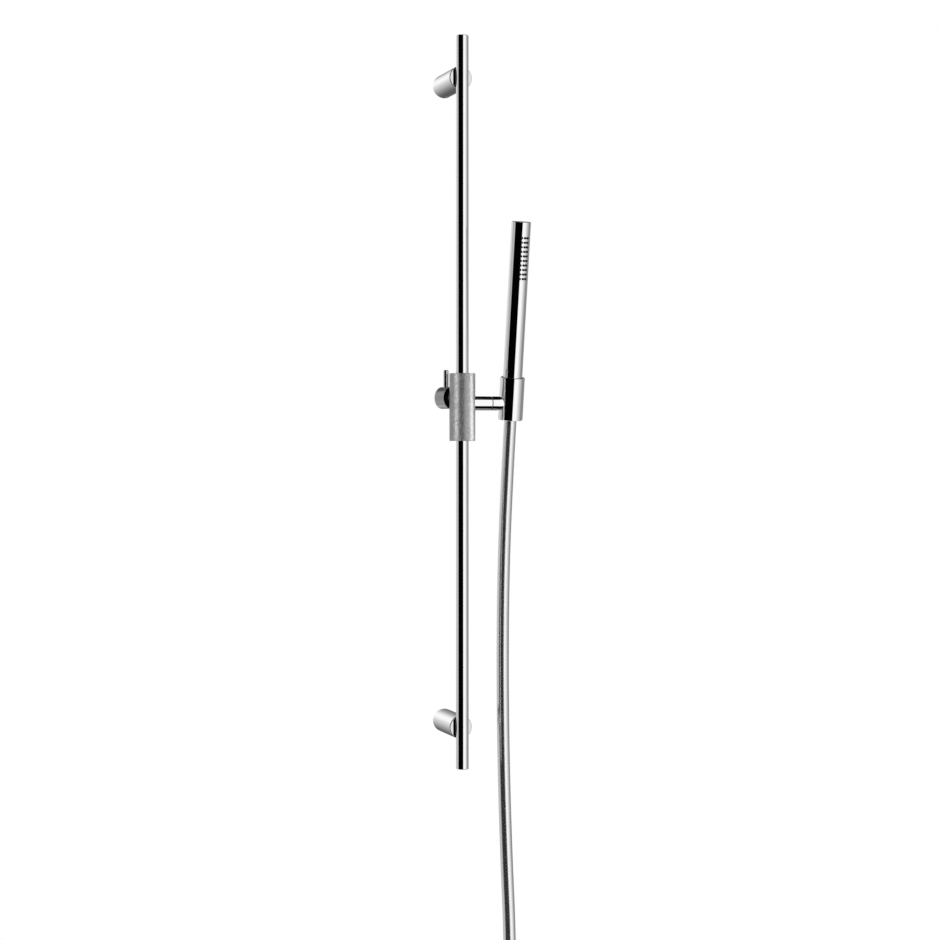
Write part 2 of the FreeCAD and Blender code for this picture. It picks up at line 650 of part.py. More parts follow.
def hose_end_fitting():
    outer = END_NUT_BORE / 2 - CLEAR
    return ring(hose_end_axis(), WATERWAY / 2, outer, 0, FITTING_FLANGE)


def hose_end_washer():
    outer = END_NUT_BORE / 2 - CLEAR
    return ring(hose_end_axis(), WATERWAY / 2, outer, FITTING_FLANGE, FITTING_FLANGE + SEAL_THICKNESS)


def hose_end_nut():
    axis = hose_end_axis()
    foot = -NUT_LIP
    top = foot + END_NUT_LENGTH
    corner = END_NUT_FLATS / math.sqrt(3)
    slope = corner - END_NUT_FLATS / 2
    blank = turned(axis, [
        (0, foot), (END_NUT_FLATS / 2, foot), (corner, foot + slope),
        (corner, top - slope), (END_NUT_FLATS / 2, top), (0, top),
    ])
    nut = blank.common(hex_bar(axis, END_NUT_FLATS, foot, top))
    nut = nut.cut(rod(axis, HOSE_RADIUS + CLEAR, foot, -CLEAR))
    thread_start = FITTING_FLANGE + SEAL_THICKNESS + END_WASHER_ROOM
    nut = nut.cut(rod(axis, END_NUT_BORE / 2 + END_NUT_RELIEF, -CLEAR, thread_start))
    return nut.cut(rod(axis, END_NUT_BORE / 2, thread_start, top))


def all_pieces():
    """Every piece of the set by name."""
    upper_ring = SLIDER_LENGTH - RING_THICKNESS
    lower_bush = RING_THICKNESS + BUSH_END_PLAY
    upper_bush = upper_ring - BUSH_END_PLAY - BUSH_LENGTH
    pieces = {
        "rail_tube": rail_tube(),
        "rail_top_plug": rail_plug(1),
        "rail_bottom_plug": rail_plug(-1),
    }
    for place, height in (("top", BRACKET_SPACING / 2), ("bottom", -BRACKET_SPACING / 2)):
        pieces[place + "_bracket_post"] = bracket_post(height)
        pieces[place + "_wall_anchor"] = wall_anchor(height)
        pieces[place + "_grub_screw"] = grub_screw(height)
        pieces[place + "_rail_screw"] = rail_screw(height)
        pieces[place + "_rail_insert"] = rail_insert(height)
    pieces.update({
        "slider_sleeve": slider_sleeve(),
        "slider_bottom_ring": slider_ring(0),
        "slider_top_ring": slider_ring(upper_ring),
        "lower_glide_bush": glide_bush(lower_bush),
        "upper_glide_bush": glide_bush(upper_bush),
        "clamp_shoe": clamp_shoe(),
        "clamp_spindle": clamp_spindle(),
        "clamp_knob": clamp_knob(),
        "knob_pin": knob_pin(),
        "holder_arm": holder_arm(),
        "friction_washer": friction_washer(),
        "swivel_bolt": swivel_bolt(),
        "holder_cup": holder_cup(),
        "holder_liner": holder_liner(),
        "hand_shower_tube": hand_shower_tube(),
        "hand_shower_cap": hand_shower_cap(),
        "hand_shower_connector": hand_shower_connector(),
        "nozzle_strip": nozzle_strip(),
        "hose_seal": hose_seal(),
        "hose_upper_fitting": hose_upper_fitting(),
        "cone_nut": cone_nut(),
        "hose_tube": hose_tube(),
        "hose_tie": hose_tie(),
        "hose_end_fitting": hose_end_fitting(),
        "hose_end_washer": hose_end_washer(),
        "hose_end_nut": hose_end_nut(),
    })
    return pieces


for name, piece in all_pieces().items():
    piece.exportStep(os.path.join("parts", name + ".step"))
    print(name, piece.isValid(), len(piece.Solids), round(piece.Volume, 1))
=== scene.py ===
import json
import logging
import math
from abc import ABC, abstractmethod
from dataclasses import dataclass
from enum import Enum
from typing import Any, ClassVar, Iterable, Sequence

import bmesh
import bpy
from mathutils import Matrix, Vector

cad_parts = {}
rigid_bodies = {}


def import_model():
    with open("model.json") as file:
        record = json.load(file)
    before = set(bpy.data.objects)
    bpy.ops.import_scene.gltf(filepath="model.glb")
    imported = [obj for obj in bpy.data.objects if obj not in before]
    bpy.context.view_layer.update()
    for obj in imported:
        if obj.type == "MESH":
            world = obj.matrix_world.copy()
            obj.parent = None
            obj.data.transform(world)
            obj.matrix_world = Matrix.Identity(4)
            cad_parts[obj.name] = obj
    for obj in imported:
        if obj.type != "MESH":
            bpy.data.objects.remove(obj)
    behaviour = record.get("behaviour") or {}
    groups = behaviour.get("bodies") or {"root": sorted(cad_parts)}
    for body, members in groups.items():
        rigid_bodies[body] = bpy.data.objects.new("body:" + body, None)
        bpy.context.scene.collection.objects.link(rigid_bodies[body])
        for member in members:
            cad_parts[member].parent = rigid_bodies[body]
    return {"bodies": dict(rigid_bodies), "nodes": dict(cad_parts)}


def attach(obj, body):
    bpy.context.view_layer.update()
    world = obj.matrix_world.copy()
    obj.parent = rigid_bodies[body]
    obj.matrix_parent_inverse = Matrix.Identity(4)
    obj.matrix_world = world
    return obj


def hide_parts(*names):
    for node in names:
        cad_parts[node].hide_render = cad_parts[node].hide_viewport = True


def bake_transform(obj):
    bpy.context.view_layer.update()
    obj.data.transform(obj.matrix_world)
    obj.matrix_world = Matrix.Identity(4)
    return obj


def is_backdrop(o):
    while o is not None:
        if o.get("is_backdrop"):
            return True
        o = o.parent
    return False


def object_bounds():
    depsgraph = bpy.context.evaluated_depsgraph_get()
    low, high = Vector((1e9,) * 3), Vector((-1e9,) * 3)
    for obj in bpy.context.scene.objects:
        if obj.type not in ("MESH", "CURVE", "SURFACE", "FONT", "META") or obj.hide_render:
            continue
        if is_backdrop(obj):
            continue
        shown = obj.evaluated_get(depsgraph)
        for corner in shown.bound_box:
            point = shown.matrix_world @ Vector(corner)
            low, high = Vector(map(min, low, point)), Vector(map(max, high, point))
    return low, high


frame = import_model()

log = logging.getLogger("shower_slide_rail")

Pair = tuple[float, float]
Colour = tuple[float, float, float]
Paint = tuple[float, float, float, float]
Point = tuple[float, float, float]

FULL_TURN = 2.0 * math.pi
RAIL_AXIS: Point = (0.0, -0.076, 0.0)
BRACKET_FACE = -0.070
BRACKET_HEIGHT = 0.415
KNOB_AXIS: Point = (-math.sin(math.radians(30.0)), math.cos(math.radians(30.0)), 0.0)
KNOB_FACE = 0.0195


class Slot(Enum):
    """Material slots of the record."""

    BRASS = "brass"
    RUBBER = "black_rubber"
    HOSE = "silver_hose"
    STRAP = "strap"


class Body(Enum):
    """Bodies of the record that carry the added pieces."""

    SLIDER = "slider"
    HOLDER = "holder"
    HOSE_NUT = "hose_nut"


class Axis(Enum):
    """Axes of the set, as places in a vector."""

    X = 0
    Y = 1
    Z = 2


class LampShape(Enum):
    """Shapes of the soft lamps."""

    RECTANGLE = "RECTANGLE"
    DISK = "DISK"


# Shader graphs


@dataclass(frozen=True)
class Value:
    """A node's output that takes part in Python arithmetic."""

    graph: "Graph"
    socket: bpy.types.NodeSocket

    def _math(self, operation: str, *terms: "Value | float") -> "Value":
        """Adds a Math node that works on these terms."""
        return self.graph.node("ShaderNodeMath", {"operation": operation}, dict(enumerate(terms)))

    def __add__(self, other: "Value | float") -> "Value":
        """This plus another value."""
        return self._math("ADD", self, other)

    def __radd__(self, other: float) -> "Value":
        """A number plus this."""
        return self._math("ADD", other, self)

    def __sub__(self, other: "Value | float") -> "Value":
        """This less another value."""
        return self._math("SUBTRACT", self, other)

    def __rsub__(self, other: float) -> "Value":
        """A number less this."""
        return self._math("SUBTRACT", other, self)

    def __mul__(self, other: "Value | float") -> "Value":
        """This times another value."""
        return self._math("MULTIPLY", self, other)

    def __rmul__(self, other: float) -> "Value":
        """A number times this."""
        return self._math("MULTIPLY", other, self)

    def __neg__(self) -> "Value":
        """This with its sign changed."""
        return self._math("MULTIPLY", self, -1.0)

    def sine(self) -> "Value":
        """Sine of this, in radians."""
        return self._math("SINE", self)

    def wave(self) -> "Value":
        """Sine of this, moved to lie between 0 and 1."""
        return 0.5 + 0.5 * self.sine()

    def angle_from(self, other: "Value") -> "Value":
        """Angle whose sine goes as this and whose cosine goes as the other."""
        return self._math("ARCTAN2", self, other)

    def size(self) -> "Value":
        """This without its sign."""
        return self._math("ABSOLUTE", self)

    def root(self) -> "Value":
        """Square root of this."""
        return self._math("SQRT", self)

    def _step(self, interpolation: str, low: float, high: float) -> "Value":
        """Rise from 0 at low to 1 at high, level beyond them."""
        settings = {"interpolation_type": interpolation, "clamp": True}
        return self.graph.node("ShaderNodeMapRange", settings, {0: self, 1: low, 2: high, 3: 0.0, 4: 1.0})

    def smooth_step(self, low: float, high: float) -> "Value":
        """Smooth rise from 0 at low to 1 at high."""
        return self._step("SMOOTHSTEP", low, high)

    def linear_step(self, low: float, high: float) -> "Value":
        """Straight rise from 0 at low to 1 at high."""
        return self._step("LINEAR", low, high)

    def ramp(self, stops: Sequence[Pair]) -> "Value":
        """Grey ramp over this value; the stops are (position, grey)."""
        return self.graph.node("ShaderNodeValToRGB", {"stops": stops}, {0: self})

    def output(self, name: str) -> "Value":
        """Another output of the same node."""
        return Value(self.graph, self.socket.node.outputs[name])


class Graph:
    """A node tree that is filled by expressions."""

    def __init__(self, tree: bpy.types.NodeTree) -> None:
        """Empties the tree.

        Args:
            tree: Node tree of a material or a world.
        """
        self.tree = tree
        tree.nodes.clear()

    def node(
        self,
        kind: str,
        settings: dict[str, Any] | None = None,
        inputs: dict[int | str, Any] | None = None,
        output: int | str = 0,
    ) -> Value:
        """Adds one node.

        Args:
            kind: Blender's name of the node type.
            settings: Properties that are set first; "stops" go to a ramp.
            inputs: Numbers, colours or other values for its sockets.
            output: Socket that is returned.

        Returns:
            The chosen output.
        """
        made = self.tree.nodes.new(kind)
        for name, setting in (settings or {}).items():
            if name == "stops":
                self._set_stops(made.color_ramp, setting)
            else:
                setattr(made, name, setting)
        for name, given in (inputs or {}).items():
            if isinstance(given, Value):
                self.tree.links.new(given.socket, made.inputs[name])
            else:
                made.inputs[name].default_value = given
        return Value(self, made.outputs[output] if made.outputs else made.inputs[0])

    @staticmethod
    def _set_stops(ramp: bpy.types.ColorRamp, stops: Sequence[Pair]) -> None:
        """Gives a ramp its stops.

        Args:
            ramp: Ramp of a new node.
            stops: Positions from 0 to 1 with their grey levels.
        """
        while len(ramp.elements) < len(stops):
            ramp.elements.new(1.0)
        for element, (position, level) in zip(ramp.elements, stops):
            element.position = position
            element.color = grey(level)

    def mix(self, factor: Value | float, first: Any, second: Any) -> Value:
        """Mixes two colours."""
        return self.node("ShaderNodeMix", {"data_type": "RGBA"}, {0: factor, 6: first, 7: second}, 2)

    def place(self) -> Value:
        """Position in the object's own frame, in metres."""
        return self.node("ShaderNodeTexCoord", output="Object")

    def mapping(self) -> tuple[Value, Value, Value]:
        """The U and V of the mesh's own mapping, and a zero."""
        return self.parts(self.node("ShaderNodeTexCoord", output="UV"))

    def parts(self, vector: Value) -> tuple[Value, Value, Value]:
        """The X, Y and Z of a vector."""
        split = self.node("ShaderNodeSeparateXYZ", inputs={0: vector})
        return split, split.output("Y"), split.output("Z")

    def noise(self, place: Value, per_metre: float, detail: float = 3.0, roughness: float = 0.55) -> Value:
        """Soft noise of this many features to the metre."""
        inputs = {"Vector": place, "Scale": per_metre, "Detail": detail, "Roughness": roughness}
        return self.node("ShaderNodeTexNoise", inputs=inputs)

    def bump(self, height: Value, distance: float) -> Value:
        """Normal from a height whose full range is the distance, in metres."""
        inputs = {"Strength": 1.0, "Distance": distance, "Height": height}
        return self.node("ShaderNodeBump", inputs=inputs)


def grey(level: float) -> Paint:
    """An opaque neutral colour."""
    return level, level, level, 1.0


def opaque(colour: Colour, factor: float = 1.0, lift: float = 0.0) -> Paint:
    """A colour with full alpha, made lighter or darker by a factor and a lift."""
    red, green, blue = (min(1.0, factor * part + lift) for part in colour)
    return red, green, blue, 1.0


def new_material(name: str) -> tuple[bpy.types.Material, Graph]:
    """Starts a material.

    Args:
        name: Name of the material.

    Returns:
        The material and the empty graph of its nodes.
    """
    made = bpy.data.materials.new(name)
    made.use_nodes = True
    return made, Graph(made.node_tree)


# Finishes


@dataclass(frozen=True)
class Finish(ABC):
    """What a surface is made of."""

    name: str
    colour: Colour
    roughness: float

    metallic: ClassVar[float] = 1.0

    def material(self) -> bpy.types.Material:
        """Makes the material.

        Returns:
            A new material with its shader.
        """
        made, graph = new_material(self.name)
        shader = graph.node(
            "ShaderNodeBsdfPrincipled", inputs={"Metallic": self.metallic, **self.surface(graph)}
        )
        graph.node("ShaderNodeOutputMaterial", inputs={"Surface": shader})
        return made

    @abstractmethod
    def surface(self, graph: Graph) -> dict[str, Any]:
        """Shader sockets of this finish.

        Args:
            graph: Node graph of the material.

        Returns:
            Socket names with their values.
        """


@dataclass(frozen=True)
class MirrorChrome(Finish):
    """Polished plate: a mirror with a faint haze and the last traces of the buffing wheel."""

    haze: float = 0.006
    drift_scale: float = 38.0
    drift_range: Pair = (0.35, 0.7)
    drift_shade: float = 0.975
    trace_scale: float = 900.0
    trace_share: float = 0.35
    trace_height: float = 1.0e-7

    def surface(self, graph: Graph) -> dict[str, Any]:
        """Haze that drifts over the plate, and buffing traces too fine to see as lines.

        Args:
            graph: Node graph of the material.

        Returns:
            Socket names with their values.
        """
        place = graph.place()
        drift = graph.noise(place, self.drift_scale, detail=4.0)
        traces = graph.noise(place, self.trace_scale, detail=2.0)
        tone = drift.smooth_step(*self.drift_range)
        return {
            "Base Color": graph.mix(tone, opaque(self.colour), opaque(self.colour, self.drift_shade)),
            "Roughness": self.roughness + self.haze * tone + self.trace_share * self.haze * traces,
            "Normal": graph.bump(traces, self.trace_height),
        }


@dataclass(frozen=True)
class FacedChrome(MirrorChrome):
    """Polished post whose end face still shows the rings of the lathe, and is coloured darker than the side
    as painted shade.
    """

    face_edge: Pair = (BRACKET_FACE + 0.00005, BRACKET_FACE + 0.0002)
    # grey of the end face, darker than the polished side: painted shade
    painted_face_shade: float = 0.75
    face_roughness: float = 0.03
    rings: float = 1900.0
    ring_roughness: float = 0.02
    ring_height: float = 2.0e-7

    def surface(self, graph: Graph) -> dict[str, Any]:
        """The polished side and the turned face, whose darker colour is painted shade.

        Args:
            graph: Node graph of the material.

        Returns:
            Socket names with their values.
        """
        sockets = super().surface(graph)
        x, y, z = graph.parts(graph.place())
        rise = z.size() - BRACKET_HEIGHT
        radius = (x * x + rise * rise).root()
        ripple = (radius * (self.rings * FULL_TURN)).wave()
        side = y.smooth_step(*self.face_edge)
        turned = self.face_roughness + self.ring_roughness * ripple
        # the end face takes a darker grey than the polished side: painted shade
        sockets["Base Color"] = graph.mix(side, grey(self.painted_face_shade), sockets["Base Color"])
        sockets["Roughness"] = turned * (1.0 - side) + side * sockets["Roughness"]
        sockets["Normal"] = graph.bump(ripple * (1.0 - side), self.ring_height)
        return sockets


@dataclass(frozen=True)
class BlastedSatin(Finish):
    """Bead-blasted plate: fine pits that scatter the light, a little brighter on their rims."""

    grain: float = 800.0
    grain_range: Pair = (0.34, 0.66)
    pit: float = 1.2e-5
    speckle: float = 0.42
    dark: float = 0.56
    light: float = 1.34
    cloud_scale: float = 260.0
    cloud_range: Pair = (0.3, 0.7)
    cloud_share: float = 0.15
    cloud_gloss: float = 0.04

    def surface(self, graph: Graph) -> dict[str, Any]:
        """Pits, their tone and the cloudiness of the blasting.

        Args:
            graph: Node graph of the material.

        Returns:
            Socket names with their values.
        """
        place = graph.place()
        pits = graph.noise(place, self.grain, detail=3.0, roughness=0.7)
        fine = pits.smooth_step(*self.grain_range)
        cloud = graph.noise(place, self.cloud_scale, detail=2.0).smooth_step(*self.cloud_range)
        tone = (1.0 - self.cloud_share) * fine + self.cloud_share * cloud
        return {
            "Base Color": graph.mix(tone, opaque(self.colour, self.dark), opaque(self.colour, self.light)),
            "Roughness": self.roughness + self.speckle * (fine - 0.5) + self.cloud_gloss * (0.5 - cloud),
            "Normal": graph.bump(pits, self.pit),
        }


@dataclass(frozen=True)
class BlastedKnob(BlastedSatin):
    """Blasted knob, finer in grain, whose face towards the slider is polished, with a nearly black colour
    that is painted shade.
    """

    speckle: float = 0.15
    dark: float = 0.8
    light: float = 1.12
    face_edge: Pair = (KNOB_FACE + 0.00004, KNOB_FACE + 0.00024)
    # nearly black grey of the face towards the slider: painted shade
    painted_face_shade: float = 0.035
    face_roughness: float = 0.09

    def surface(self, graph: Graph) -> dict[str, Any]:
        """The blasted sides and the polished face, coloured nearly black as painted shade.

        Args:
            graph: Node graph of the material.

        Returns:
            Socket names with their values.
        """
        sockets = super().surface(graph)
        x, y, _ = graph.parts(graph.place())
        distance = (x - RAIL_AXIS[0]) * KNOB_AXIS[0] + (y - RAIL_AXIS[1]) * KNOB_AXIS[1]
        sides = distance.smooth_step(*self.face_edge)
        # the face towards the slider takes a nearly black grey: painted shade
        sockets["Base Color"] = graph.mix(sides, grey(self.painted_face_shade), sockets["Base Color"])
        sockets["Roughness"] = self.face_roughness + sides * (sockets["Roughness"] - self.face_roughness)
        return sockets


@dataclass(frozen=True)
class TurnedMetal(Finish):
    """Bare turned metal with the tool's fine rings across its axis."""

    axis: Axis = Axis.Z
    rings: float = 2600.0
    ring_roughness: float = 0.05
    ring_height: float = 6.0e-6
    wander: float = 2.2
    wander_scale: float = 120.0
    tarnish_scale: float = 210.0
    tarnish_range: Pair = (0.42, 0.72)
    tarnish_shade: float = 0.72
    tarnish_roughness: float = 0.12

    def surface(self, graph: Graph) -> dict[str, Any]:
        """Tool rings and the slight tarnish between them.

        Args:
            graph: Node graph of the material.

        Returns:
            Socket names with their values.
        """
        place = graph.place()
        along = graph.parts(place)[self.axis.value]
        wander = self.wander * graph.noise(place, self.wander_scale)
        ripple = (along * (self.rings * FULL_TURN) + wander).wave()
        tarnish = graph.noise(place, self.tarnish_scale, detail=5.0).smooth_step(*self.tarnish_range)
        return {
            "Base Color": graph.mix(tarnish, opaque(self.colour), opaque(self.colour, self.tarnish_shade)),
            "Roughness": self.roughness + self.tarnish_roughness * tarnish + self.ring_roughness * ripple,
            "Normal": graph.bump(ripple, self.ring_height),
        }


@dataclass(frozen=True)
class MouldedPlastic(Finish):
    """Dark moulded plastic with a fine spark-eroded texture."""

    texture_scale: float = 2600.0
    texture_roughness: float = 0.08
    texture_height: float = 1.2e-5
    rub_scale: float = 150.0
    rub_range: Pair = (0.5, 0.75)
    rub_factor: float = 1.5
    rub_lift: float = 0.01
    rub_gloss: float = 0.12

    metallic: ClassVar[float] = 0.0

    def surface(self, graph: Graph) -> dict[str, Any]:
        """Texture of the mould and faint rubbed patches.

        Args:
            graph: Node graph of the material.

        Returns:
            Socket names with their values.
        """
        place = graph.place()
        texture = graph.noise(place, self.texture_scale, detail=2.0)
        rubbed = graph.noise(place, self.rub_scale, detail=3.0).smooth_step(*self.rub_range)
        paler = opaque(self.colour, self.rub_factor, self.rub_lift)
        return {
            "Base Color": graph.mix(rubbed, opaque(self.colour), paler),
            "Roughness": self.roughness - self.rub_gloss * rubbed + self.texture_roughness * texture,
            "Normal": graph.bump(texture, self.texture_height),
        }


@dataclass(frozen=True)
class SoftRubber(Finish):
    """Soft black rubber with a dry, slightly dusty skin."""

    skin_scale: float = 3200.0
    skin_gloss: float = 0.08
    skin_height: float = 1.0e-5
    lime_scale: float = 700.0
    lime_range: Pair = (0.58, 0.85)
    lime_lift: float = 0.012
    lime_roughness: float = 0.15
    specular: float = 0.2

    metallic: ClassVar[float] = 0.0

    def surface(self, graph: Graph) -> dict[str, Any]:
        """Skin of the rubber and a trace of lime on it.

        Args:
            graph: Node graph of the material.

        Returns:
            Socket names with their values.
        """
        place = graph.place()
        skin = graph.noise(place, self.skin_scale, detail=3.0)
        lime = graph.noise(place, self.lime_scale, detail=4.0).smooth_step(*self.lime_range)
        return {
            "Base Color": graph.mix(lime, opaque(self.colour), opaque(self.colour, lift=self.lime_lift)),
            "Roughness": self.roughness + self.lime_roughness * lime - self.skin_gloss * skin,
            "Normal": graph.bump(skin, self.skin_height),
            "Specular IOR Level": self.specular,
        }


@dataclass(frozen=True)
class MetallicHose(Finish):
    """Smooth clear-skinned hose over silver foil, with the winding under it just showing."""

    pitch: float = 0.0042
    winding_share: float = 0.35
    winding_roughness: float = 0.03
    winding_height: float = 5.0e-6
    drift_scale: float = 55.0
    drift_share: float = 0.4
    drift_roughness: float = 0.05
    shade: float = 0.9
    coat: float = 0.35
    coat_roughness: float = 0.06

    metallic: ClassVar[float] = 0.985

    def surface(self, graph: Graph) -> dict[str, Any]:
        """Foil winding under the skin and the slight ripple over it.

        Args:
            graph: Node graph of the material.

        Returns:
            Socket names with their values.
        """
        round_it, along, _ = graph.mapping()
        winding = (along * (FULL_TURN / self.pitch) + round_it * FULL_TURN).wave()
        drift = graph.noise(graph.place(), self.drift_scale, detail=3.0)
        tone = self.winding_share * winding + self.drift_share * drift
        return {
            "Base Color": graph.mix(tone, opaque(self.colour), opaque(self.colour, self.shade)),
            "Roughness": self.roughness + self.winding_roughness * winding + self.drift_roughness * drift,
            "Normal": graph.bump(winding, self.winding_height),
            "Coat Weight": self.coat,
            "Coat Roughness": self.coat_roughness,
        }


@dataclass(frozen=True)
class WovenStrap(Finish):
    """Narrow woven strap, seen as warp and weft."""

    thread: float = 0.0009
    fibre_scale: float = 4200.0
    fibre_share: float = 0.25
    crown_range: Pair = (0.3, 0.9)
    crown_factor: float = 2.1
    crown_lift: float = 0.015
    crown_gloss: float = 0.12
    crown_height: float = 1.6e-4
    sheen: float = 0.3

    metallic: ClassVar[float] = 0.0

    def surface(self, graph: Graph) -> dict[str, Any]:
        """Plain weave with paler fibres on its crowns.

        Args:
            graph: Node graph of the material.

        Returns:
            Socket names with their values.
        """
        along, across, _ = graph.mapping()
        turn = FULL_TURN / self.thread
        weave = 0.5 + 0.5 * (along * turn).sine() * (across * turn).sine()
        fibre = graph.noise(graph.place(), self.fibre_scale, detail=3.0)
        crown = ((1.0 - self.fibre_share) * weave + self.fibre_share * fibre).smooth_step(*self.crown_range)
        pale = opaque(self.colour, self.crown_factor, self.crown_lift)
        return {
            "Base Color": graph.mix(crown, opaque(self.colour), pale),
            "Roughness": self.roughness - self.crown_gloss * crown,
            "Normal": graph.bump(crown, self.crown_height),
            "Sheen Weight": self.sheen,
        }


@dataclass(frozen=True)
class FloorPaint:
    """Pale floor that takes shadows in its middle and melts into the white round it."""

    name: str = "pale_floor"
    level: float = 0.86
    mottle: float = 0.8
    mottle_scale: float = 9.0
    melting: Pair = (0.55, 1.05)

    def material(self) -> bpy.types.Material:
        """Makes the floor's material.

        Returns:
            A new material with its shader.
        """
        made, graph = new_material(self.name)
        place = graph.place()
        paint = graph.mix(graph.noise(place, self.mottle_scale), grey(self.level), grey(self.mottle))
        matt = graph.node("ShaderNodeBsdfDiffuse", inputs={"Color": paint})
        clear = graph.node("ShaderNodeBsdfTransparent")
        distance = graph.node("ShaderNodeVectorMath", {"operation": "LENGTH"}, {0: place}, "Value")
        rim = distance.smooth_step(*self.melting)
        surface = graph.node("ShaderNodeMixShader", inputs={0: rim, 1: matt, 2: clear})
        graph.node("ShaderNodeOutputMaterial", inputs={"Surface": surface})
        return made


# Mesh helpers


def link_mesh(name: str, mesh: bpy.types.Mesh, finish: bpy.types.Material) -> bpy.types.Object:
    """Puts a mesh in the scene.

    Args:
        name: Name of the piece.
        mesh: Its mesh, in the frame of the set.
        finish: Its material.

    Returns:
        The new object.
    """
    mesh.materials.append(finish)
    piece = bpy.data.objects.new(name, mesh)
    bpy.context.scene.collection.objects.link(piece)
    return piece


def from_bmesh(name: str, shape: bmesh.types.BMesh, sharp_degrees: float) -> bpy.types.Mesh:
    """Turns a finished shape into a mesh with smooth faces and sharp edges.

    Args:
        name: Name of the mesh.
        shape: The shape, which is freed.
        sharp_degrees: Edges that turn by more stay sharp.

    Returns:
        The mesh.
    """
    bmesh.ops.recalc_face_normals(shape, faces=shape.faces)
    mesh = bpy.data.meshes.new(name)
    shape.to_mesh(mesh)
    shape.free()
    mesh.shade_smooth()
    mesh.set_sharp_from_angle(angle=math.radians(sharp_degrees))
    return mesh


def round_steps(sides: int) -> list[Pair]:
    """Cosine and sine of equal steps round a circle."""
    angles = [FULL_TURN * side / sides for side in range(sides)]
    return [(math.cos(angle), math.sin(angle)) for angle in angles]


def add_lathe(shape: bmesh.types.BMesh, profile: Sequence[Pair], place: Matrix, sides: int) -> None:
    """Adds a turned surface to a shape.

    Args:
        shape: Shape to add to.
        profile: Points as (radius, height), the last of them on the axis.
        place: Where the turning axis, the local Z, stands.
        sides: Number of sides round the axis.
    """
    rings = [
        [shape.verts.new(place @ Vector((radius * c, radius * s, height))) for c, s in round_steps(sides)]
        for radius, height in profile[:-1]
    ]
    tip = shape.verts.new(place @ Vector((0.0, 0.0, profile[-1][1])))
    for low, high in zip(rings, rings[1:]):
        for side in range(sides):
            after = (side + 1) % sides
            shape.faces.new((low[side], low[after], high[after], high[side]))
    for side in range(sides):
        shape.faces.new((rings[-1][side], rings[-1][(side + 1) % sides], tip))


def carried_frames(points: Sequence[Vector]) -> list[tuple[Vector, Vector]]:
    """Two directions square to a line at each of its points, without twist.

    Args:
        points: Points of the line.

    Returns:
        A pair of unit vectors for each point.
    """
    frames = []
    side = Vector((1.0, 0.0, 0.0))
    for index in range(len(points)):
        ahead = (points[min(index + 1, len(points) - 1)] - points[max(index - 1, 0)]).normalized()
        side = (side - ahead * side.dot(ahead)).normalized()
        frames.append((side, ahead.cross(side)))
    return frames


def tube_mesh(
    name: str, points: Sequence[Vector], radius: float, sides: int, sharp_degrees: float
) -> bpy.types.Mesh:
    """A closed round tube along a line, with U round it and V along it in metres.

    Args:
        name: Name of the mesh.
        points: Points of its centre line.
        radius: Its outer radius.
        sides: Number of sides.
        sharp_degrees: Edges that turn by more stay sharp.

    Returns:
        The mesh.
    """
    shape = bmesh.new()
    mapping = shape.loops.layers.uv.new(name)
    distances = [0.0]
    for before, after in zip(points, points[1:]):
        distances.append(distances[-1] + (after - before).length)
    rings = [
        [shape.verts.new(point + (side * c + other * s) * radius) for c, s in round_steps(sides)]
        for point, (side, other) in zip(points, carried_frames(points))
    ]
    for row, (low, high) in enumerate(zip(rings, rings[1:])):
        for step in range(sides):
            after = (step + 1) % sides
            face = shape.faces.new((low[step], low[after], high[after], high[step]))
            spots = ((step, row), (step + 1, row), (step + 1, row + 1), (step, row + 1))
            for loop, (round_step, ring) in zip(face.loops, spots):
                loop[mapping].uv = (round_step / sides, distances[ring])
    shape.faces.new(list(reversed(rings[0])))
    shape.faces.new(rings[-1])
    return from_bmesh(name, shape, sharp_degrees)


def dress(nodes: Iterable[str], finish: bpy.types.Material) -> None:
    """Gives CAD nodes a finish.

    Args:
        nodes: Names of the nodes.
        finish: Their material.
    """
    for name in nodes:
        mesh = frame["nodes"][name].data
        mesh.materials.clear()
        mesh.materials.append(finish)
        log.info("dressed %s in %s", name, finish.name)


def add_piece(piece: bpy.types.Object, body: Body) -> None:
    """Puts a new piece on its body.

    Args:
        piece: The piece, in place.
        body: Body that carries it.
    """
    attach(piece, body.value)
    log.info("added %s on %s", piece.name, body.value)


class Palette:
    """The finishes of the set, as materials."""

    def __init__(self) -> None:
        """Makes every material once."""
        plate = {"colour": (0.96, 0.96, 0.965), "roughness": 0.005}
        brass = {"colour": (0.72, 0.56, 0.30), "roughness": 0.24}
        steel = {"colour": (0.55, 0.55, 0.56), "roughness": 0.28}
        self.chrome = MirrorChrome("polished_chrome", **plate).material()
        self.faced_chrome = FacedChrome("faced_chrome", **plate).material()
        self.satin = BlastedSatin("blasted_chrome", (0.42, 0.42, 0.425), roughness=0.48).material()
        self.knob = BlastedKnob("blasted_knob", (0.74, 0.74, 0.745), roughness=0.42).material()
        self.brass_across = TurnedMetal("turned_brass_across", axis=Axis.Y, **brass).material()
        self.brass = TurnedMetal("turned_brass", axis=Axis.Z, **brass).material()
        self.steel_across = TurnedMetal("turned_steel_across", axis=Axis.Y, **steel).material()
        self.steel = TurnedMetal("turned_steel", axis=Axis.X, **steel).material()
        self.plastic = MouldedPlastic("moulded_plastic", (0.06, 0.06, 0.065), roughness=0.5).material()
        self.rubber = SoftRubber("soft_rubber", (0.008, 0.008, 0.009), roughness=0.5).material()
        self.hose = MetallicHose("metallic_hose", (0.95, 0.95, 0.955), roughness=0.19).material()
        self.strap = WovenStrap("woven_strap", (0.05, 0.05, 0.055), roughness=0.8).material()


# Sub-assemblies


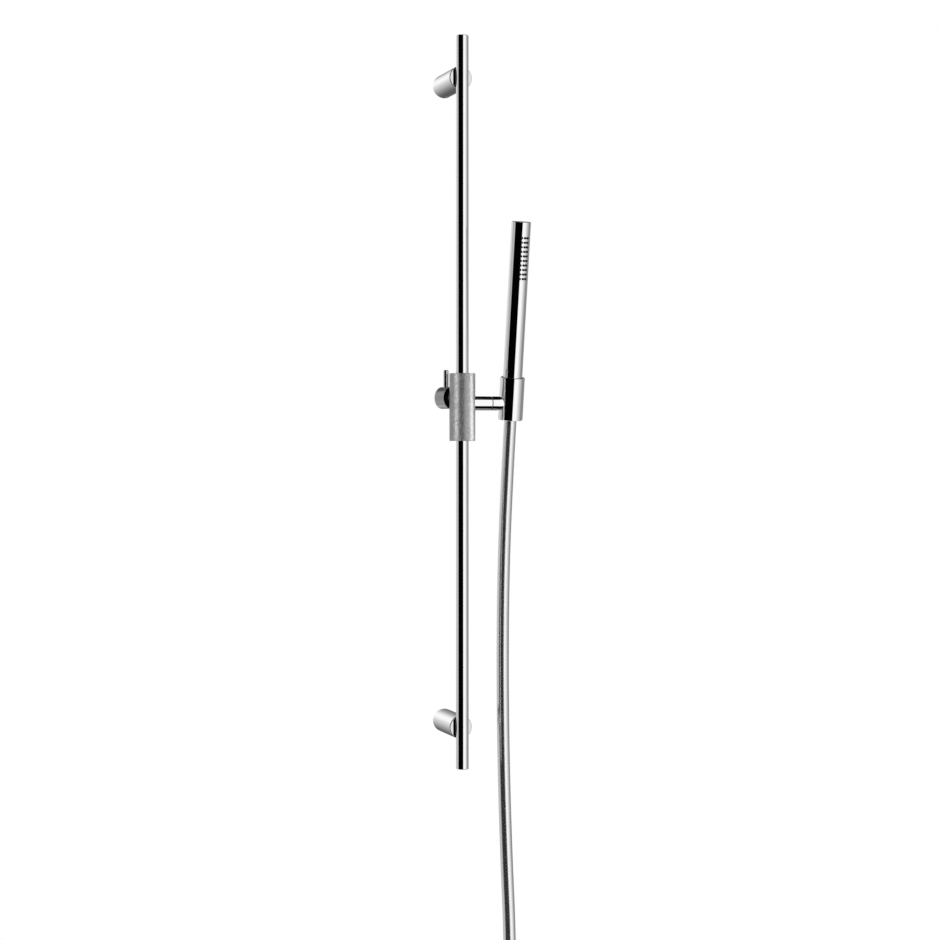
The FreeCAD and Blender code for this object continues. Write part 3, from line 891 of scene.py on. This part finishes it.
@dataclass
class RailAndBrackets:
    """The rail, its plugs and the two wall brackets."""

    places: tuple[str, ...] = ("top", "bottom")

    def dress(self, palette: Palette) -> None:
        """Gives the solids their finishes.

        Args:
            palette: Materials of the set.
        """
        dress(["rail_tube", "rail_top_plug", "rail_bottom_plug"], palette.chrome)
        for place in self.places:
            dress([place + "_bracket_post"], palette.faced_chrome)
            dress([place + "_wall_anchor", place + "_rail_insert"], palette.brass_across)
            dress([place + "_rail_screw", place + "_grub_screw"], palette.steel_across)


@dataclass
class SliderAndKnob:
    """The sliding sleeve, its clamp and the side arm."""

    inner_plastics: tuple[str, ...] = (
        "slider_top_ring", "slider_bottom_ring", "upper_glide_bush", "lower_glide_bush", "clamp_shoe",
        "friction_washer",
    )

    def dress(self, palette: Palette) -> None:
        """Gives the solids their finishes.

        Args:
            palette: Materials of the set.
        """
        dress(["slider_sleeve"], palette.satin)
        dress(["clamp_knob"], palette.knob)
        dress(["knob_pin", "holder_arm"], palette.chrome)
        dress(["clamp_spindle", "swivel_bolt"], palette.steel)
        dress(self.inner_plastics, palette.plastic)


@dataclass
class HolderAndShower:
    """The tilting holder and the stick hand shower in it."""

    pivot: Point = (0.0663, -0.076, 0.0)
    lean_degrees: float = 9.3
    shower_top: float = 0.2326
    nozzle_from_top: float = 0.020
    nozzle_pitch: float = 0.00573
    nozzle_rows: int = 10
    nozzle_columns: tuple[int, ...] = (-1, 0, 1)
    nozzle_degrees: float = 18.2
    spray_degrees: float = 7.4
    lip_sides: int = 20
    lip_sharp_degrees: float = 60.0
    lip_profile: tuple[Pair, ...] = (
        (0.00158, 0.01205), (0.00151, 0.01262), (0.00147, 0.01300), (0.00143, 0.01335), (0.00136, 0.01358),
        (0.00116, 0.01378), (0.00080, 0.01378), (0.00058, 0.01368), (0.00048, 0.01358), (0.0, 0.01357),
    )

    def nozzle_places(self) -> list[Matrix]:
        """Where the nozzles stand.

        Returns:
            A matrix for each nozzle, whose local Z points out of the spray face.
        """
        lean = Matrix.Rotation(math.radians(self.lean_degrees), 4, "X")
        shower = Matrix.Translation(Vector(self.pivot)) @ lean
        outward = Matrix.Rotation(math.radians(90.0), 4, "X")
        places = []
        for column in self.nozzle_columns:
            swing = Matrix.Rotation(math.radians(self.spray_degrees + column * self.nozzle_degrees), 4, "Z")
            for row in range(self.nozzle_rows):
                height = self.shower_top - self.nozzle_from_top - row * self.nozzle_pitch
                places.append(shower @ Matrix.Translation((0.0, 0.0, height)) @ swing @ outward)
        return places

    def build(self, palette: Palette) -> None:
        """Adds the soft lips of the spray nozzles.

        Args:
            palette: Materials of the set.
        """
        name = "spray_nozzle_lips"
        shape = bmesh.new()
        for place in self.nozzle_places():
            add_lathe(shape, self.lip_profile, place, self.lip_sides)
        lips = link_mesh(name, from_bmesh(name, shape, self.lip_sharp_degrees), palette.rubber)
        add_piece(lips, Body.HOLDER)

    def dress(self, palette: Palette) -> None:
        """Gives the solids their finishes.

        Args:
            palette: Materials of the set.
        """
        dress(["holder_cup", "hand_shower_tube", "hand_shower_cap", "cone_nut"], palette.chrome)
        dress(["hand_shower_connector", "hose_upper_fitting"], palette.brass)
        dress(["holder_liner"], palette.plastic)
        dress(["nozzle_strip", "hose_seal"], palette.rubber)


@dataclass
class Hose:
    """The hose from the holder to its loose end, with its tie and end fittings."""

    diameter: float = 0.016
    length: float = 1.447
    sides: int = 40
    line_steps: int = 26
    sharp_degrees: float = 35.0
    leaves_at: Point = (0.0663, -0.0727, -0.0204)
    stiff_until: Point = (0.0663, -0.0740, -0.012)
    free_from: Point = (0.0663, -0.0446, -0.285)
    route: tuple[Point, ...] = (
        (0.0663, -0.07406, -0.01184),
        (0.0663, -0.05822, -0.10855),
        (0.0663, -0.0465, -0.215),
        (0.0663, -0.0430, -0.335),
        (0.0663, -0.0465, -0.455),
        (0.0663, -0.0565, -0.575),
        (0.0663, -0.0720, -0.690),
        (0.0663, -0.0720, -0.800),
        (0.0540, -0.0720, -0.872),
        (0.0490, -0.0720, -0.945),
        (0.0480, -0.0720, -1.0107),
        (0.0843, -0.0720, -1.047),
        (0.1357, -0.0720, -1.047),
        (0.1720, -0.0720, -1.0107),
        (0.1680, -0.0720, -0.945),
        (0.1380, -0.0720, -0.880),
        (0.0980, -0.0720, -0.812),
        (0.0893, -0.0720, -0.757),
        (0.0893, -0.0720, -0.727),
    )
    strap_run: int = 6
    strap_turns: int = 14
    strap_height: float = 0.011
    strap_thickness: float = 0.0015
    strap_room: float = 0.0003
    strap_middle: float = -0.745
    strap_edge: float = 0.25
    strap_sharp_degrees: float = 50.0
    tab_steps: tuple[int, int] = (2, -9)
    tab_thickness: float = 0.7
    tab_height: float = 0.94
    thread_radius: float = 0.0093
    thread_depth: float = 0.0004
    thread_seat: float = 0.00005
    thread_pitch: float = 0.001814
    thread_foot: float = -0.7215
    thread_top: float = -0.7148
    thread_half: float = 0.45
    thread_crest: float = 0.2
    thread_fade: float = 0.4
    thread_least: float = 0.05
    thread_steps: int = 40
    thread_sharp_degrees: float = 40.0

    def centre_line(self) -> list[Vector]:
        """Points of the smooth line that the route guides.

        Returns:
            Points from the holder to the loose end.
        """
        curve = bpy.data.curves.new("hose_route", "CURVE")
        curve.dimensions = "3D"
        spline = curve.splines.new("NURBS")
        spline.points.add(len(self.route) - 1)
        for knot, place in zip(spline.points, self.route):
            knot.co = (*place, 1.0)
        spline.order_u = 3
        spline.use_endpoint_u = True
        spline.resolution_u = self.line_steps
        guide = bpy.data.objects.new("hose_route", curve)
        bpy.context.scene.collection.objects.link(guide)
        bpy.context.view_layer.update()
        line = bpy.data.meshes.new_from_object(guide.evaluated_get(bpy.context.evaluated_depsgraph_get()))
        points = [vertex.co.copy() for vertex in line.vertices]
        bpy.data.objects.remove(guide)
        bpy.data.curves.remove(curve)
        bpy.data.meshes.remove(line)
        return points

    def build(self, palette: Palette) -> None:
        """Adds the hose, its strap and the thread of its end nut.

        Args:
            palette: Materials of the set.
        """
        points = self.centre_line()
        tube = tube_mesh("hose", points, self.diameter / 2.0, self.sides, self.sharp_degrees)
        hose = link_mesh("hose", tube, palette.hose)
        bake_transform(hose)
        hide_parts("hose_tube")
        log.info("added hose between %s and %s", Body.HOLDER.value, Body.SLIDER.value)
        strap = link_mesh("hose_strap", self.strap_mesh(), palette.strap)
        add_piece(strap, Body.SLIDER)
        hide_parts("hose_tie")
        thread = link_mesh("hose_end_thread", self.thread_mesh(), palette.brass)
        add_piece(thread, Body.HOSE_NUT)

    def strap_outline(self, offset: float) -> list[Vector]:
        """Level outline round the two runs of the fold.

        Args:
            offset: Distance of the outline from the runs' centre lines.

        Returns:
            Points of the closed outline, in order.
        """
        first, second = Vector(self.route[self.strap_run]), Vector(self.route[-1])
        outline = []
        for centre, start in ((second, -90.0), (first, 90.0)):
            for step in range(self.strap_turns + 1):
                angle = math.radians(start + 180.0 * step / self.strap_turns)
                out = Vector((math.cos(angle), math.sin(angle), 0.0))
                outline.append(Vector((centre.x, centre.y, self.strap_middle)) + offset * out)
        return outline

    def strap_mesh(self) -> bpy.types.Mesh:
        """A woven strap round both runs, with the tab that closes it.

        Returns:
            The mesh.
        """
        shape = bmesh.new()
        mapping = shape.loops.layers.uv.new("strap")
        inner = self.diameter / 2.0 + self.strap_room
        thick, half = self.strap_thickness, self.strap_height / 2.0
        self._add_band(shape, mapping, self.strap_outline(inner), thick, half, closed=True)
        tab = self.strap_outline(inner + thick)[slice(*self.tab_steps)]
        self._add_band(
            shape, mapping, tab, thick * self.tab_thickness, half * self.tab_height, closed=False
        )
        return from_bmesh("hose_strap", shape, self.strap_sharp_degrees)

    def _add_band(
        self,
        shape: bmesh.types.BMesh,
        mapping: bmesh.types.BMLayerItem,
        outline: Sequence[Vector],
        thickness: float,
        half: float,
        closed: bool,
    ) -> None:
        """Adds a flat band with soft edges that stands on an outline.

        Args:
            shape: Shape to add to.
            mapping: UV layer, in metres along and across the band.
            outline: Level points of the band's inner face.
            thickness: Thickness of the band, outwards.
            half: Half of its width.
            closed: True where the band joins its own start.
        """
        soft = self.strap_edge * thickness
        section = (
            (0.0, -half + soft), (0.0, half - soft), (soft, half), (thickness - soft, half),
            (thickness, half - soft), (thickness, -half + soft), (thickness - soft, -half), (soft, -half),
        )
        count = len(outline)
        rows, walked, distance = [], [], 0.0
        for index, point in enumerate(outline):
            before = outline[index - 1] if closed or index else point
            after = outline[(index + 1) % count] if closed or index + 1 < count else point
            ahead = (after - before).normalized()
            distance += (point - outline[index - 1]).length if index else 0.0
            walked.append(distance)
            rows.append([
                shape.verts.new(point + Vector((out * ahead.y, -out * ahead.x, up))) for out, up in section
            ])
        for index in range(count if closed else count - 1):
            low, high = rows[index], rows[(index + 1) % count]
            start = walked[index]
            end = walked[index + 1] if index + 1 < count else distance
            for corner in range(len(section)):
                following = (corner + 1) % len(section)
                face = shape.faces.new((low[corner], low[following], high[following], high[corner]))
                spots = ((start, corner), (start, following), (end, following), (end, corner))
                for loop, (along, edge) in zip(face.loops, spots):
                    loop[mapping].uv = (along, section[edge][1])
        if not closed:
            shape.faces.new(rows[0])
            shape.faces.new(list(reversed(rows[-1])))

    def thread_mesh(self) -> bpy.types.Mesh:
        """The pipe thread inside the end nut, as one rising ridge that fades at both ends.

        Returns:
            The mesh.
        """
        shape = bmesh.new()
        centre = Vector(self.route[-1])
        half = self.thread_half * self.thread_pitch
        flat = self.thread_crest * half
        root = self.thread_radius + self.thread_seat
        turns = (self.thread_top - self.thread_foot - 2.0 * half) / self.thread_pitch
        rows = []
        for step in range(int(turns * self.thread_steps) + 1):
            turned = step / self.thread_steps
            left = turns - turned
            fade = min(1.0, turned / self.thread_fade, left / self.thread_fade + self.thread_least)
            crest = self.thread_radius - max(self.thread_least, fade) * self.thread_depth
            height = self.thread_foot + half + self.thread_pitch * turned
            outward = Vector((math.cos(FULL_TURN * turned), math.sin(FULL_TURN * turned), 0.0))
            rows.append([
                shape.verts.new(Vector((centre.x, centre.y, height + up)) + outward * radius)
                for radius, up in ((root, -half), (crest, -flat), (crest, flat), (root, half))
            ])
        for low, high in zip(rows, rows[1:]):
            for corner in range(len(low)):
                following = (corner + 1) % len(low)
                shape.faces.new((low[corner], low[following], high[following], high[corner]))
        shape.faces.new(rows[0])
        shape.faces.new(list(reversed(rows[-1])))
        return from_bmesh("hose_end_thread", shape, self.thread_sharp_degrees)

    def dress(self, palette: Palette) -> None:
        """Gives the solids their finishes.

        Args:
            palette: Materials of the set.
        """
        dress(["hose_end_nut"], palette.chrome)
        dress(["hose_end_fitting"], palette.brass)
        dress(["hose_end_washer"], palette.rubber)
        dress(["hose_tube"], palette.hose)
        dress(["hose_tie"], palette.strap)


# Studio


@dataclass
class Studio:
    """Camera, floor and the soft light round the set."""

    camera_place: Point = (-0.8120, -2.4950, -0.0446)
    camera_degrees: float = 18.775
    camera_down_degrees: float = 0.911
    lens: float = 76.596
    sensor_width: float = 36.0
    floor_drop: float = 0.38
    floor_radius: float = 1.15
    floor_sides: int = 96
    fill: float = 0.85
    dark: float = 0.0005
    ceiling_lean: float = 0.258
    ceiling: Pair = (0.69, 0.76)
    lower_card: Pair = (0.62, 0.74)
    lower_card_back: Pair = (-0.45, -0.10)
    poles: Pair = (0.976, 0.984)
    pole_level: float = 0.5
    back: Pair = (0.55, 0.75)
    back_rise: Pair = (-0.38, 0.20)
    back_low: float = 0.2
    round_stops: tuple[Pair, ...] = (
        (-180.0, 0.2), (-171.0, 0.35), (-165.0, 0.5), (-159.0, 0.72), (-155.0, 0.85), (-150.0, 0.97),
        (-143.0, 1.0), (-125.0, 0.65), (-110.0, 0.52), (-80.0, 0.52), (-74.0, 0.0005), (15.5, 0.0005),
        (19.5, 1.0), (48.0, 1.0), (58.0, 0.92), (67.0, 0.76), (76.0, 0.63), (85.0, 0.54), (100.0, 0.36),
        (112.0, 0.21), (122.0, 0.27), (135.0, 0.38), (150.0, 0.42), (165.0, 0.3), (180.0, 0.2),
    )
    strip_size: Pair = (0.68, 0.8)
    strip_distance: float = 1.2
    strips: tuple[Pair, ...] = ((-53.0, 5.3), (94.0, 7.1))
    key_size: Pair = (1.6, 1.6)
    key_watts: float = 45.0
    key_place: Point = (-1.2, -1.9, 1.9)
    key_target: Point = (0.0, -0.05, -0.1)

    def forward(self) -> Vector:
        """Direction that the camera looks in."""
        turn, down = math.radians(self.camera_degrees), math.radians(self.camera_down_degrees)
        return Vector((math.sin(turn) * math.cos(down), math.cos(turn) * math.cos(down), -math.sin(down)))

    def add_camera(self) -> None:
        """Adds the camera and makes it the scene's."""
        data = bpy.data.cameras.new("camera")
        data.lens = self.lens
        data.sensor_width = self.sensor_width
        camera = bpy.data.objects.new("camera", data)
        camera.location = self.camera_place
        camera.rotation_mode = "QUATERNION"
        camera.rotation_quaternion = self.forward().to_track_quat("-Z", "Y")
        bpy.context.scene.collection.objects.link(camera)
        bpy.context.scene.camera = camera

    def add_floor(self, lowest: float) -> None:
        """Adds a round pale floor under the set.

        Args:
            lowest: Lowest height of the set.
        """
        shape = bmesh.new()
        bmesh.ops.create_circle(shape, cap_ends=True, segments=self.floor_sides, radius=self.floor_radius)
        mesh = bpy.data.meshes.new("floor")
        shape.to_mesh(mesh)
        shape.free()
        floor = link_mesh("floor", mesh, FloorPaint().material())
        floor.location = (0.0, 0.0, lowest - self.floor_drop)
        floor.visible_glossy = False
        floor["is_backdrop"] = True

    def add_world(self) -> None:
        """Lights the set from all round: boxes and cards as metal shows them, plain white to the eye."""
        world = bpy.data.worlds.new("studio")
        world.use_nodes = True
        bpy.context.scene.world = world
        graph = Graph(world.node_tree)
        x, y, z = graph.parts(graph.node("ShaderNodeTexCoord", output="Generated"))
        turn = math.radians(self.camera_degrees)
        toward = -(x * math.sin(turn)) - y * math.cos(turn)
        right = x * math.cos(turn) - y * math.sin(turn)
        round_it = right.angle_from(toward) * (1.0 / FULL_TURN) + 0.5
        walls = round_it.ramp([(degrees / 360.0 + 0.5, level) for degrees, level in self.round_stops])
        behind = (-toward).smooth_step(*self.back)
        shade = (1.0 - self.back_low) * (1.0 - z.linear_step(*self.back_rise))
        above = (z - self.ceiling_lean * toward).smooth_step(*self.ceiling)
        below = (-z).smooth_step(*self.lower_card) * toward.smooth_step(*self.lower_card_back)
        soft_boxes = walls * (1.0 - behind * shade)
        cards = graph.mix(above + below, soft_boxes, grey(self.dark))
        cards = graph.mix(z.size().smooth_step(*self.poles), cards, grey(self.pole_level))
        path = graph.node("ShaderNodeLightPath", output="Is Camera Ray")
        mirrored = path.output("Is Glossy Ray") + path.output("Is Transmission Ray")
        white = graph.mix(path, grey(self.fill), grey(1.0))
        colour = graph.mix(mirrored, white, cards)
        background = graph.node("ShaderNodeBackground", inputs={"Color": colour, "Strength": 1.0})
        graph.node("ShaderNodeOutputWorld", inputs={"Surface": background})

    @staticmethod
    def add_lamp(
        name: str, shape: LampShape, size: Pair, watts: float, place: Vector, target: Vector
    ) -> bpy.types.Object:
        """Adds one soft lamp.

        Args:
            name: Name of the lamp.
            shape: Its shape.
            size: Its width and height.
            watts: Its power.
            place: Where it stands.
            target: Where it points.

        Returns:
            The lamp.
        """
        data = bpy.data.lights.new(name, "AREA")
        data.shape = shape.value
        data.size, data.size_y = size
        data.energy = watts
        lamp = bpy.data.objects.new(name, data)
        lamp.location = place
        lamp.rotation_mode = "QUATERNION"
        lamp.rotation_quaternion = (target - place).to_track_quat("-Z", "Y")
        bpy.context.scene.collection.objects.link(lamp)
        return lamp

    def add_key_light(self) -> None:
        """Adds one large soft lamp, which casts the shadow on the floor and isn't mirrored."""
        place, target = Vector(self.key_place), Vector(self.key_target)
        lamp = self.add_lamp("key", LampShape.DISK, self.key_size, self.key_watts, place, target)
        lamp.visible_glossy = False

    def add_satin_strips(self) -> None:
        """Adds two tall soft boxes that light the blasted sleeve alone, one each side of the camera."""
        receivers = bpy.data.collections.new("blasted_sleeve")
        receivers.objects.link(frame["nodes"]["slider_sleeve"])
        target = Vector(RAIL_AXIS)
        for degrees, watts in self.strips:
            angle = math.radians(degrees - self.camera_degrees)
            place = target + Vector((math.sin(angle), -math.cos(angle), 0.0)) * self.strip_distance
            lamp = self.add_lamp("satin_strip", LampShape.RECTANGLE, self.strip_size, watts, place, target)
            lamp.light_linking.receiver_collection = receivers

    def build(self, lowest: float) -> None:
        """Sets up the studio.

        Args:
            lowest: Lowest height of the set.
        """
        bpy.context.scene.view_settings.view_transform = "Standard"
        self.add_camera()
        self.add_floor(lowest)
        self.add_world()
        self.add_key_light()
        self.add_satin_strips()


def clear_leftovers() -> None:
    """Removes what the start-up scene held before the frame was loaded."""
    kept = set(frame["nodes"].values()) | set(frame["bodies"].values())
    for leftover in [item for item in bpy.data.objects if item not in kept]:
        bpy.data.objects.remove(leftover)


def main() -> None:
    """Builds and dresses the set, piece by piece."""
    logging.basicConfig(level=logging.INFO, format="%(message)s")
    clear_leftovers()
    solid_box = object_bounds()
    palette = Palette()
    rail, slider, shower, hose = RailAndBrackets(), SliderAndKnob(), HolderAndShower(), Hose()
    Studio().build(solid_box[0].z)
    hose.build(palette)
    shower.build(palette)
    for assembly in (rail, slider, shower, hose):
        assembly.dress(palette)


if __name__ == "__main__":
    main()
